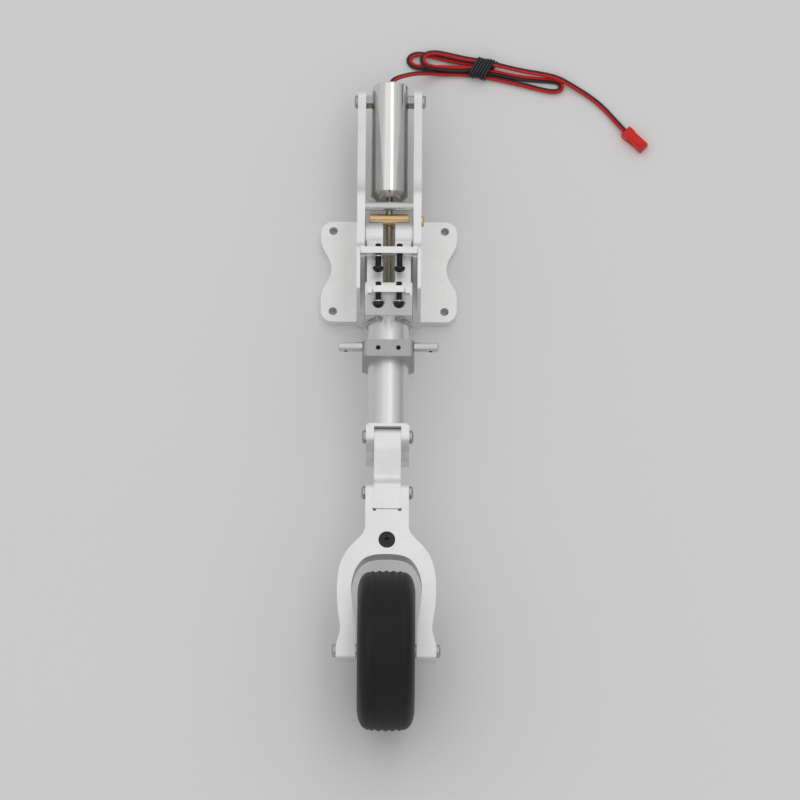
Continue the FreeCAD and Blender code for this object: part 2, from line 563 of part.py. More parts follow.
def soft_tube(points, radius, name):
    """Round tube along straight runs joined by tangent arcs."""
    edges = []
    last = points[0]
    for i in range(1, len(points) - 1):
        back = points[i - 1] - points[i]
        ahead = points[i + 1] - points[i]
        shorter = min(back.Length, ahead.Length)
        half = back.getAngle(ahead) / 2
        back.normalize()
        ahead.normalize()
        reach = 0.45 * shorter
        bend = reach * math.tan(half)
        inward = back + ahead
        inward.normalize()
        first = points[i] + back * reach
        middle = points[i] + inward * (bend / math.sin(half) - bend)
        end = points[i] + ahead * reach
        edges.append(Part.LineSegment(last, first).toShape())
        edges.append(Part.Arc(first, middle, end).toShape())
        last = end
        print(name, "bend radius", round(bend, 1))
    edges.append(Part.LineSegment(last, points[-1]).toShape())
    path = Part.Wire(edges)
    start = points[1] - points[0]
    circle = Part.Wire(Part.makeCircle(radius, points[0], start))
    tube = path.makePipeShell([circle], True, False)
    print(name, "length", round(path.Length, 1), "volume ratio",
          round(tube.Volume / (math.pi * radius ** 2 * path.Length), 3))
    return tube


def lead_hank():
    """Outer shape of the folded hank, and the wrap tie round its middle."""
    hank = plate_z([(8, 98.2, 3.2), (8, 91.2, 3.2), (20, 88.8, 8), (33, 86.6, 4), (44, 86.2, 4), (60, 81.2, 8),
                    (70, 80.8, 3.2), (70, 88.2, 3.2), (56, 90.6, 8), (44, 93.2, 4), (33, 94.8, 4),
                    (20, 98.0, 8)], 0.5, 3.9)
    sleeve = plate_y([(-5.2, 0, 1.6), (5.2, 0, 1.6), (5.2, 4.6, 1.6), (-5.2, 4.6, 1.6)], -5.6, 5.6)
    sleeve.rotate(V(0, 0, 0), V(0, 0, 1), 90 - 10)
    sleeve.translate(V(38.4, 90.2, 0))
    return hank, sleeve.cut(hank)


def connector():
    """Two-pin connector body with a stepped nose, lying on the bench."""
    body = plate_y([(-2.6, 0, 0.4), (2.6, 0, 0.4), (2.6, 4.0, 0.4), (-2.6, 4.0, 0.4)], 0, 7)
    nose = plate_y([(-2.1, 0.5, 0.3), (2.1, 0.5, 0.3), (2.1, 3.5, 0.3), (-2.1, 3.5, 0.3)], 6.5, 11)
    plug = fuse([body, nose])
    plug.rotate(V(0, 0, 0), V(0, 0, 1), -137)
    plug.translate(V(PLUG_XY[0], PLUG_XY[1], 0))
    return plug


def save_lead():
    """Twin lead: run to the bench, hank with its tie, tail and connector."""
    run = soft_tube(lead_route(), LEAD_WIRE_R, "lead_run")
    tail = soft_tube(tail_route(), LEAD_WIRE_R, "lead_tail")
    plug = connector()
    hank, tie = lead_hank()
    save("lead_run", run)
    save("lead_tail", tail.cut(plug))
    save("lead_hank", hank.cut(run).cut(tail))
    save("lead_tie", tie)
    save("lead_plug", plug)


def main():
    right = side_frame()
    save("side_frame_right", right)
    save("side_frame_left", mirror_x(right))
    cap, can, gearbox = motor()
    save("motor_end_cap", cap)
    save("motor_can", can)
    save("motor_gearbox", gearbox)
    spacers, screws = motor_mounting()
    save("motor_spacers", spacers)
    save("motor_screws", screws)
    save("cross_rod", cross_rod())
    save("trunnion_pivots", trunnion_pivots())
    save("lead_screw", rod_y(LEAD_R, LEAD_END_Y, MOTOR_FRONT_Y + 3.9, 0, SCREW_Z))
    save("barrel_nut", barrel_nut())
    save("trunnion", trunnion())
    bridge, ledge, rings = stop_screws()
    save("bridge_screws", bridge)
    save("ledge_screws", ledge)
    save("screw_rings", rings)
    save("strut_tube", strut_tube())
    save("tube_keeper_screw", rod_z(1.5, 20.3, 23.3, 0, -27.5))
    collar, grubs, pins = steering_collar()
    save("steering_collar", collar)
    save("collar_grub_screws", grubs)
    save("steering_pins", pins)
    save("snap_ring", snap_ring())
    save("knuckle", knuckle())
    save("plunger", plunger())
    save("plunger_spring", spring())
    save("spring_seat", rod_y(TUBE_BORE, -38, -34, 0, TUBE_Z))
    save("link", link())
    save("fork", fork())
    save("crown_screw", crown_screw())
    for name, place, half in (("knuckle_pin", LINK_PIVOT, HALF_KNUCKLE), ("fork_pin", FORK_PIVOT, HALF_KNUCKLE),
                              ("axle", AXLE_YZ, 20.3)):
        pin, heads = hinge_pin(place, half, 2.75)
        save(name, pin)
        save(name + "_screws", heads)
    save("axle_bushes", axle_bushes())
    save("tyre", tyre())
    save("wheel_hub", hub())
    save("wheel_bearings", bearings())
    save_lead()


main()
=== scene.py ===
"""Finish, lead and small hardware of an electric retracting nose leg, laid out as an add-on."""

import json
import math

import bmesh
import bpy
from mathutils import Matrix, Quaternion, Vector


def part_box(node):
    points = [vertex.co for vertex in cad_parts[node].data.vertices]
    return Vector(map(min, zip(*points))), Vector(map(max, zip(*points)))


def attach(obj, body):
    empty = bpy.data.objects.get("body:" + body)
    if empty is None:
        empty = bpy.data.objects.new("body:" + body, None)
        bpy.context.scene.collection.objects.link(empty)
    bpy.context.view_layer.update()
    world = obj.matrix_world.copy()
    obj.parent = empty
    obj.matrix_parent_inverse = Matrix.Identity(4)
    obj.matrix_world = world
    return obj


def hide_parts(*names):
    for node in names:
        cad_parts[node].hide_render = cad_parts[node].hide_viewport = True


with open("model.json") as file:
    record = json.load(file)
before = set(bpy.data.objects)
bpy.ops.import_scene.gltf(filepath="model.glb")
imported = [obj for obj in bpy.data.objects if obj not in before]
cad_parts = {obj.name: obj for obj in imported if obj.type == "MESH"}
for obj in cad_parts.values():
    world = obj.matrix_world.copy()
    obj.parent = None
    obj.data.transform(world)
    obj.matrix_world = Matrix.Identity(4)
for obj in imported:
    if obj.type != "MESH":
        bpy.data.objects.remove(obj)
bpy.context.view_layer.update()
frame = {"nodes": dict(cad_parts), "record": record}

bl_info = {
    "name": "Retract Leg Dressing",
    "version": (1, 0, 0),
    "blender": (4, 5, 0),
    "location": "View3D > Sidebar > Retract Leg",
    "description": "Finishes, lead and small hardware of a retracting nose leg",
    "category": "Object",
}

MM = 0.001
TURN = 2 * math.pi

# Stage, in metres. The world's slopes turn its ramp towards the side and the back.
AIM = (4.9 * MM, -65.0 * MM, 30.0 * MM)
FLOOR_HALF = 3.0
SENSOR_WIDTH = 36
WORLD_HORIZON = (0.43, 0.43, 0.425)
WORLD_ZENITH = (0.74, 0.74, 0.74)
WORLD_SIDE_SLOPE = -0.12
WORLD_BACK_SLOPE = 0.25
WORLD_EDGE_TONE = (0.30, 0.30, 0.30)
WORLD_EDGE_SPAN = (0.945, 0.962)
LAMP_Y = 0.3
LAMP_HEIGHT = 1.1
LAMPS = [("Wide softbox", -0.36, (0.62, 2.6), 1.10), ("Bright strip", 0.27, (0.30, 2.6), 1.95)]

# Finishes: colours that stay fixed, how far noise is stretched along X, Y and Z, and bump depth
MOTOR_STEEL = (0.76, 0.76, 0.75)
DARK_STEEL = (0.44, 0.44, 0.435)
HUB_ALLOY = (0.74, 0.74, 0.73)
LEAD_SCREW_BRONZE = (0.50, 0.43, 0.34)
BLACK_OXIDE = (0.014, 0.014, 0.015)
BLACK_WRAP = (0.010, 0.012, 0.016)
LINES_AROUND_Y = (250, 9000, 250)
LINES_AROUND_X = (9000, 250, 250)
DRAWN_ALONG_Y = (1500, 25, 1500)
BUMP_DEPTH = 0.05 * MM

# Lead, as route points in millimetres: from the motor, round the hank, and on to the plug
LEAD_EXIT = (0.0, 74.2, 22.0)
LEAD_RUN = [LEAD_EXIT, (0.6, 77.0, 21.9), (3.2, 79.6, 19.4), (7.2, 82.8, 14.2), (11.6, 85.8, 8.4),
            (16.4, 87.7, 3.6), (21.5, 88.3, 1.3)]
HANK_LOOPS = [(29.0, 88.4, 1.15), (37.4, 87.6, 1.15), (45.5, 85.9, 1.1), (53.6, 84.0, 1.1),
              (61.0, 82.0, 1.1), (66.6, 80.7, 1.1), (70.4, 81.5, 1.1), (70.0, 84.9, 1.2),
              (66.0, 85.7, 1.2), (60.0, 86.0, 1.3), (53.0, 86.6, 1.3), (45.5, 88.4, 1.2),
              (37.4, 89.9, 1.15), (29.0, 90.7, 1.15), (21.0, 91.0, 1.15), (13.4, 90.8, 1.1),
              (8.6, 91.8, 1.1), (7.2, 94.8, 1.1), (9.8, 97.2, 1.15), (15.0, 96.8, 1.2),
              (22.0, 94.9, 1.2), (30.0, 93.2, 1.2), (36.0, 92.4, 1.25), (40.4, 92.4, 1.3),
              (40.4, 90.1, 3.5), (36.0, 90.0, 3.5), (29.6, 89.6, 3.3), (22.0, 89.8, 3.1),
              (16.2, 90.4, 3.1), (12.8, 92.8, 3.1), (13.8, 96.2, 3.1), (18.2, 97.2, 3.2),
              (24.0, 95.9, 3.3), (31.0, 94.2, 3.5), (37.0, 93.2, 3.8), (43.0, 91.8, 3.7),
              (49.5, 90.2, 3.3), (56.0, 88.9, 3.0)]
LEAD_TAIL = [(62.0, 88.0, 3.0), (69.0, 86.4, 2.9), (76.0, 82.6, 1.5), (82.2, 78.6, 1.1), (87.4, 74.2, 1.1),
             (91.8, 69.0, 1.2), (96.6, 63.2, 2.0)]
LEAD_RESOLUTION = 10
PAIR_ROLL = math.radians(26)
PAIR_SPACING = 0.97
WIRE_SIDES = 12

# Wrap tie
TIE_TURNS = 6
TIE_STEPS = 44
TIE_DRIFT = 7.2 * MM
TIE_HALF_WIDE = 4.0 * MM
TIE_HALF_TALL = 2.1 * MM
TIE_SLANT = 1.5 * MM
TIE_SHIFT = -0.6 * MM
TIE_LIFT = 0.67 * MM
TIE_STRAND = 0.64 * MM
TIE_HEADING = math.radians(-12)

# Connector: blocks as (centre, size) in millimetres, with the lead entering at the origin
PLUG_HEADING = math.radians(-134)
PLUG_EDGE = 0.12 * MM
PLUG_BODY = [((0, 1.6, 1.95), (5.0, 3.2, 3.8)), ((0, 6.4, 1.95), (4.5, 8.6, 3.3))]
PLUG_RAIL = [((0, 6.2, 3.62), (2.0, 6.6, 0.5))]
PLUG_CHEEKS = [((side * 2.3, 4.6, 1.95), (0.4, 3.4, 1.5)) for side in (-1, 1)]
PLUG_WINDOWS = [((side * 1.2, 9.6, 3.55), (0.7, 1.6, 0.3)) for side in (-1, 1)]

# Screws in millimetres: pitch, and for the stop screws the (along, radius) head outline,
# then for each node its seats and shank length
LEAD_SCREW_PITCH = 0.7
STOP_PITCH = 0.5
STOP_RADIUS = 1.25
BUTTON_HEAD = [(0.0, 2.2), (0.5, 2.2), (1.0, 2.02), (1.4, 1.68), (1.66, 1.2), (1.7, 0.95),
               (0.75, 0.82), (0.72, 0.02), (0.0, 0.02)]
STOP_SCREWS = [("bridge_screws", [(-4.35, -13.6, 46), (4.35, -13.6, 46)], 10.0),
               ("ledge_screws", [(-4.2, -29.9, 48.2), (4.2, -29.9, 48.2)], 9.0)]

# Tyre: (share of half width, radius in mm) of the side wall; (share of rib, drop in mm) of a rib
SIDE_WALL = [(0.70, 20.05), (0.84, 20.3), (0.93, 20.9), (0.985, 22.0), (1.0, 23.4), (0.992, 24.8),
             (0.972, 26.2), (0.945, 27.5), (0.91, 28.7), (0.87, 29.7), (0.82, 30.5), (0.76, 31.15),
             (0.69, 31.6), (0.63, 31.85)]
RIBS = 5
RIB_SHAPE = ((0.42, 0.50), (0.30, 0.42), (0.19, 0.24), (0.10, 0.04), (0.0, 0.0),
             (-0.10, 0.04), (-0.19, 0.24), (-0.30, 0.42), (-0.42, 0.50))
TREAD_SHARE = 0.6
TREAD_BOW = 0.35 * MM
GATE_LEAN = math.radians(23.7)
GATE_SUNK = 0.62 * MM
GATE_ASIDE = 1.1 * MM
GATE_RING = [(0.0, 0.45), (0.30, 0.55), (0.42, 0.8), (0.34, 1.05), (0.0, 1.15)]


# ---------------------------------------------------------------- properties

class LegFinishProps(bpy.types.PropertyGroup):
    """Colours of the finishes."""
    anodised: bpy.props.FloatVectorProperty(
        name="Anodised alloy", description="Colour of the bead-blasted clear-anodised parts",
        subtype="COLOR", size=3, default=(0.82, 0.82, 0.815))
    tube: bpy.props.FloatVectorProperty(
        name="Strut tube", description="Colour of the satin strut tube",
        subtype="COLOR", size=3, default=(0.76, 0.76, 0.755))
    collar: bpy.props.FloatVectorProperty(
        name="Collar", description="Colour of the grey steering collar",
        subtype="COLOR", size=3, default=(0.43, 0.43, 0.425))
    steel: bpy.props.FloatVectorProperty(
        name="Bright steel", description="Colour of ground and polished steel",
        subtype="COLOR", size=3, default=(0.70, 0.70, 0.70))
    brass: bpy.props.FloatVectorProperty(
        name="Brass", description="Colour of the cross nut",
        subtype="COLOR", size=3, default=(0.74, 0.52, 0.29))
    rubber: bpy.props.FloatVectorProperty(
        name="Rubber", description="Colour of the tyre",
        subtype="COLOR", size=3, default=(0.023, 0.0235, 0.0235))


class LeadProps(bpy.types.PropertyGroup):
    """Sizes and colours of the twin lead."""
    wire_diameter: bpy.props.FloatProperty(
        name="Wire diameter", description="Diameter of one insulated wire",
        subtype="DISTANCE", unit="LENGTH", default=1.25 * MM, min=0.4 * MM, max=3 * MM)
    red: bpy.props.FloatVectorProperty(
        name="Red wire", description="Insulation of the positive wire",
        subtype="COLOR", size=3, default=(0.56, 0.010, 0.009))
    black: bpy.props.FloatVectorProperty(
        name="Black wire", description="Insulation of the negative wire",
        subtype="COLOR", size=3, default=(0.012, 0.012, 0.014))
    plug: bpy.props.FloatVectorProperty(
        name="Connector", description="Colour of the moulded connector",
        subtype="COLOR", size=3, default=(0.66, 0.012, 0.006))


class StageProps(bpy.types.PropertyGroup):
    """Camera and floor colour."""
    camera_distance: bpy.props.FloatProperty(
        name="Camera distance", description="Distance from the camera to its aim point",
        subtype="DISTANCE", unit="LENGTH", default=6.0)
    roll: bpy.props.FloatProperty(
        name="Roll", description="Turn of the camera about its line of sight",
        subtype="ANGLE", default=math.radians(0.42))
    elevation: bpy.props.FloatProperty(
        name="Elevation", description="Camera height above the horizon",
        subtype="ANGLE", default=math.radians(70))
    field: bpy.props.FloatProperty(
        name="Field", description="Width that the camera sees at its aim point",
        subtype="DISTANCE", unit="LENGTH", default=0.3248)
    floor: bpy.props.FloatVectorProperty(
        name="Floor", description="Colour of the floor and the surroundings",
        subtype="COLOR", size=3, default=(0.79, 0.79, 0.79))


# ---------------------------------------------------------------- shader helpers

def new_group(name, inputs, outputs):
    """Empty shader node group with named float or colour sockets."""
    group = bpy.data.node_groups.new(name, "ShaderNodeTree")
    for label, kind, default in inputs:
        socket = group.interface.new_socket(label, in_out="INPUT", socket_type=kind)
        socket.default_value = default
    for label, kind in outputs:
        group.interface.new_socket(label, in_out="OUTPUT", socket_type=kind)
    entry = group.nodes.new("NodeGroupInput")
    leave = group.nodes.new("NodeGroupOutput")
    return group, entry, leave


def add_node(tree, kind, **values):
    """New node with its properties set."""
    node = tree.nodes.new(kind)
    for key, value in values.items():
        setattr(node, key, value)
    return node


def math_node(tree, operation, first, second):
    """Math node fed by sockets or numbers; returns its output."""
    node = add_node(tree, "ShaderNodeMath", operation=operation)
    for slot, value in zip(node.inputs, (first, second)):
        if isinstance(value, (int, float)):
            slot.default_value = value
        else:
            tree.links.new(value, slot)
    return node.outputs[0]


def tone_and_roughness(group, entry, leave, gain, centred, swing):
    """Multiply the colour by gain, and move the roughness with the noise."""
    tone = add_node(group, "ShaderNodeMix", data_type="RGBA", blend_type="MULTIPLY")
    tone.inputs["Factor"].default_value = 1.0
    group.links.new(entry.outputs["Color"], tone.inputs["A"])
    group.links.new(gain, tone.inputs["B"])
    change = math_node(group, "MULTIPLY", centred, swing)
    rough = math_node(group, "ADD", entry.outputs["Roughness"], change)
    group.links.new(tone.outputs["Result"], leave.inputs["Color"])
    group.links.new(rough, leave.inputs["Roughness"])


def blasted_grain_group():
    """Bead-blasted grain: fine bumps, slow tone drift and roughness drift."""
    group, entry, leave = new_group(
        "Blasted grain",
        [("Color", "NodeSocketColor", (0.8, 0.8, 0.8, 1)), ("Grain", "NodeSocketFloat", 5200.0),
         ("Drift", "NodeSocketFloat", 0.06), ("Roughness", "NodeSocketFloat", 0.45)],
        [("Color", "NodeSocketColor"), ("Roughness", "NodeSocketFloat"), ("Height", "NodeSocketFloat")])
    place = group.nodes.new("ShaderNodeTexCoord")
    fine = add_node(group, "ShaderNodeTexNoise")
    fine.inputs["Detail"].default_value = 3
    slow = add_node(group, "ShaderNodeTexNoise")
    slow.inputs["Scale"].default_value = 90
    slow.inputs["Detail"].default_value = 5
    group.links.new(place.outputs["Object"], fine.inputs["Vector"])
    group.links.new(place.outputs["Object"], slow.inputs["Vector"])
    group.links.new(entry.outputs["Grain"], fine.inputs["Scale"])
    centred = math_node(group, "SUBTRACT", slow.outputs["Fac"], 0.5)
    speck = math_node(group, "SUBTRACT", fine.outputs["Fac"], 0.5)
    drift = math_node(group, "MULTIPLY", centred, entry.outputs["Drift"])
    speckle = math_node(group, "MULTIPLY", speck, entry.outputs["Drift"])
    total = math_node(group, "ADD", drift, speckle)
    gain = math_node(group, "ADD", total, 1.0)
    tone_and_roughness(group, entry, leave, gain, centred, 0.12)
    group.links.new(fine.outputs["Fac"], leave.inputs["Height"])
    return group


def turned_lines_group():
    """Lathe and draw marks: noise squeezed along one axis."""
    group, entry, leave = new_group(
        "Turned lines",
        [("Color", "NodeSocketColor", (0.8, 0.8, 0.8, 1)), ("Stretch", "NodeSocketVector", (200, 9000, 200)),
         ("Drift", "NodeSocketFloat", 0.08), ("Roughness", "NodeSocketFloat", 0.25)],
        [("Color", "NodeSocketColor"), ("Roughness", "NodeSocketFloat"), ("Height", "NodeSocketFloat")])
    place = group.nodes.new("ShaderNodeTexCoord")
    stretch = add_node(group, "ShaderNodeVectorMath", operation="MULTIPLY")
    lines = add_node(group, "ShaderNodeTexNoise")
    lines.inputs["Scale"].default_value = 1
    lines.inputs["Detail"].default_value = 4
    group.links.new(place.outputs["Object"], stretch.inputs[0])
    group.links.new(entry.outputs["Stretch"], stretch.inputs[1])
    group.links.new(stretch.outputs[0], lines.inputs["Vector"])
    centred = math_node(group, "SUBTRACT", lines.outputs["Fac"], 0.5)
    gain = math_node(group, "ADD", math_node(group, "MULTIPLY", centred, entry.outputs["Drift"]), 1.0)
    tone_and_roughness(group, entry, leave, gain, centred, 0.25)
    group.links.new(lines.outputs["Fac"], leave.inputs["Height"])
    return group


GROUPS = {}


def effect_group(name):
    """The shared effect groups, each built once."""
    if name not in GROUPS:
        GROUPS[name] = {"grain": blasted_grain_group, "lines": turned_lines_group}[name]()
    return GROUPS[name]


def make_finish(name, effect, color, roughness, metallic, bump, drift, scale, specular=0.5):
    """Material whose colour, roughness and bump come from a shared effect."""
    material = bpy.data.materials.new(name)
    material.use_nodes = True
    tree = material.node_tree
    shader = tree.nodes["Principled BSDF"]
    group = tree.nodes.new("ShaderNodeGroup")
    group.node_tree = effect_group(effect)
    group.inputs["Color"].default_value = (*color, 1)
    group.inputs["Roughness"].default_value = roughness
    group.inputs["Drift"].default_value = drift
    group.inputs["Grain" if effect == "grain" else "Stretch"].default_value = scale
    relief = tree.nodes.new("ShaderNodeBump")
    relief.inputs["Strength"].default_value = bump
    relief.inputs["Distance"].default_value = BUMP_DEPTH
    tree.links.new(group.outputs["Color"], shader.inputs["Base Color"])
    tree.links.new(group.outputs["Roughness"], shader.inputs["Roughness"])
    tree.links.new(group.outputs["Height"], relief.inputs["Height"])
    tree.links.new(relief.outputs["Normal"], shader.inputs["Normal"])
    shader.inputs["Metallic"].default_value = metallic
    shader.inputs["Specular IOR Level"].default_value = specular
    return material


def finish_table():
    """Material of each slot in the record, and two that only this file's own pieces use.

    Each finish has its name, effect, colour, roughness, metallic, bump strength, tone drift,
    and the scale of its grain or the stretch of its lines.
    """
    look = bpy.context.scene.leg_finish
    lead = bpy.context.scene.leg_lead
    along = LINES_AROUND_Y
    across = LINES_AROUND_X
    drawn = DRAWN_ALONG_Y
    return {
        "anodised": make_finish("Anodised alloy", "grain", look.anodised, 0.47, 0.78, 0.35, 0.20, 1900.0),
        "tube_alloy": make_finish("Satin tube", "lines", look.tube, 0.38, 0.95, 0.10, 0.06, along),
        "motor_steel": make_finish("Motor steel", "lines", MOTOR_STEEL, 0.12, 1.0, 0.05, 0.30, drawn),
        "bright_steel": make_finish("Bright steel", "lines", look.steel, 0.14, 1.0, 0.05, 0.12, across),
        "collar_grey": make_finish("Grey collar", "grain", look.collar, 0.46, 0.7, 0.3, 0.14, 1900.0),
        "black_oxide": make_finish("Black oxide", "grain", BLACK_OXIDE, 0.34, 0.3, 0.2, 0.3, 3000.0),
        "screw_steel": make_finish("Screw steel", "lines", DARK_STEEL, 0.16, 1.0, 0.08, 0.1, across),
        "nut_brass": make_finish("Turned brass", "lines", look.brass, 0.24, 1.0, 0.08, 0.12, across),
        "rubber_tyre": make_finish("Tyre rubber", "grain", look.rubber, 0.44, 0.0, 0.5, 0.45, 1500.0,
                                   specular=0.09),
        "hub_alloy": make_finish("Hub alloy", "lines", HUB_ALLOY, 0.28, 1.0, 0.08, 0.08, across),
        "lead_wire": make_finish("Red insulation", "grain", lead.red, 0.42, 0.0, 0.15, 0.20, 900.0,
                                 specular=0.3),
        "tie_plastic": make_finish("Black wrap", "grain", BLACK_WRAP, 0.36, 0.0, 0.3, 0.3, 1200.0),
        "plug_plastic": make_finish("Red connector", "grain", lead.plug, 0.34, 0.0, 0.1, 0.08, 1500.0,
                                    specular=0.3),
        "lead_bronze": make_finish("Lead screw", "lines", LEAD_SCREW_BRONZE, 0.25, 1.0, 0.08, 0.2, along),
        "black_wire": make_finish("Black insulation", "grain", lead.black, 0.40, 0.0, 0.15, 0.2, 900.0),
    }


FINISHES = {}


def finish_of(slot):
    """Finish of a slot, made on first use."""
    if not FINISHES:
        FINISHES.update(finish_table())
    return FINISHES[slot]


# ---------------------------------------------------------------- mesh helpers

def mesh_object(name, vertices, faces, materials, smooth=True):
    """Object from vertex and face lists, normals made consistent."""
    mesh = bpy.data.meshes.new(name)
    mesh.from_pydata([tuple(v) for v in vertices], [], faces)
    thing = bpy.data.objects.new(name, mesh)
    bpy.context.scene.collection.objects.link(thing)
    for material in materials:
        mesh.materials.append(material)
    work = bmesh.new()
    work.from_mesh(mesh)
    bmesh.ops.remove_doubles(work, verts=work.verts, dist=1e-7)
    bmesh.ops.recalc_face_normals(work, faces=work.faces)
    work.to_mesh(mesh)
    work.free()
    for face in mesh.polygons:
        face.use_smooth = smooth
    return thing


def sharpen(thing, degrees):
    """Mark the hard edges so that smooth shading stops at them."""
    thing.data.set_sharp_from_angle(angle=math.radians(degrees))


def tube_mesh(path, upward, radius, sides, offset=0.0, roll=0.0):
    """Vertices and faces of a round tube along a path, shifted by offset at a roll angle."""
    vertices = []
    faces = []
    count = len(path)
    for i, point in enumerate(path):
        ahead = path[min(i + 1, count - 1)] - path[max(i - 1, 0)]
        ahead.normalize()
        side = ahead.cross(upward).normalized()
        up = side.cross(ahead).normalized()
        shift = (side * math.cos(roll) + up * math.sin(roll)) * offset
        for k in range(sides):
            angle = TURN * k / sides
            vertices.append(point + shift + (side * math.cos(angle) + up * math.sin(angle)) * radius)
    for i in range(count - 1):
        for k in range(sides):
            a = i * sides + k
            b = i * sides + (k + 1) % sides
            faces.append((a, b, b + sides, a + sides))
    faces.append(tuple(range(sides)))
    faces.append(tuple(range((count - 1) * sides, count * sides)))
    return vertices, faces


def lathe(profile, centre, axis, sides):
    """Closed turned body from (along, radius) points about an axis through centre."""
    axis = Vector(axis).normalized()
    side = axis.orthogonal().normalized()
    other = axis.cross(side)
    vertices = []
    faces = []
    count = len(profile)
    for k in range(sides):
        angle = TURN * k / sides
        radial = side * math.cos(angle) + other * math.sin(angle)
        for along, radius in profile:
            vertices.append(Vector(centre) + axis * along + radial * radius)
    for k in range(sides):
        here = k * count
        there = ((k + 1) % sides) * count
        for i in range(count):
            j = (i + 1) % count
            faces.append((here + i, here + j, there + j, there + i))
    return vertices, faces


def threaded_rod(start, direction, length, radius, pitch, sides, depth):
    """Rod with a helical thread: rings whose radius follows the angle and the height."""
    direction = Vector(direction).normalized()
    side = direction.orthogonal().normalized()
    other = direction.cross(side)
    steps = max(6, int(length / pitch * 6))
    vertices = []
    faces = []
    for i in range(steps + 1):
        along = length * i / steps
        for k in range(sides):
            angle = TURN * k / sides
            phase = (along / pitch - k / sides) % 1.0
            ridge = abs(2 * phase - 1)
            fade = min(1.0, i / 3, (steps - i) / 3)
            r = radius * (1 - depth * (1 - ridge) * fade)
            radial = side * math.cos(angle) + other * math.sin(angle)
            vertices.append(Vector(start) + direction * along + radial * r)
    for i in range(steps):
        for k in range(sides):
            a = i * sides + k
            b = i * sides + (k + 1) % sides
            faces.append((a, b, b + sides, a + sides))
    faces.append(tuple(range(sides)))
    faces.append(tuple(range(steps * sides, (steps + 1) * sides)))
    return vertices, faces


def join_lists(parts):
    """One vertex and face list from several."""
    vertices = []
    faces = []
    for some_vertices, some_faces in parts:
        base = len(vertices)
        vertices += some_vertices
        faces += [tuple(base + index for index in face) for face in some_faces]
    return vertices, faces


def spline_points(name, route, resolution):
    """Points along the NURBS line of a route, and the route's curve removed again."""
    curve = bpy.data.curves.new(name, "CURVE")
    curve.dimensions = "3D"
    curve.resolution_u = resolution
    spline = curve.splines.new("NURBS")
    spline.points.add(len(route) - 1)
    for point, place in zip(spline.points, route):
        point.co = (*place, 1)
    spline.order_u = 3
    spline.use_endpoint_u = True
    holder = bpy.data.objects.new(name, curve)
    bpy.context.scene.collection.objects.link(holder)
    bpy.context.view_layer.update()
    mesh = bpy.data.meshes.new_from_object(holder)
    points = [vertex.co.copy() for vertex in mesh.vertices]
    bpy.data.objects.remove(holder)
    bpy.data.curves.remove(curve)
    bpy.data.meshes.remove(mesh)
    return points


def metres(points):
    """Millimetre points in metres."""
    return [tuple(value * MM for value in point) for point in points]


# ---------------------------------------------------------------- operators

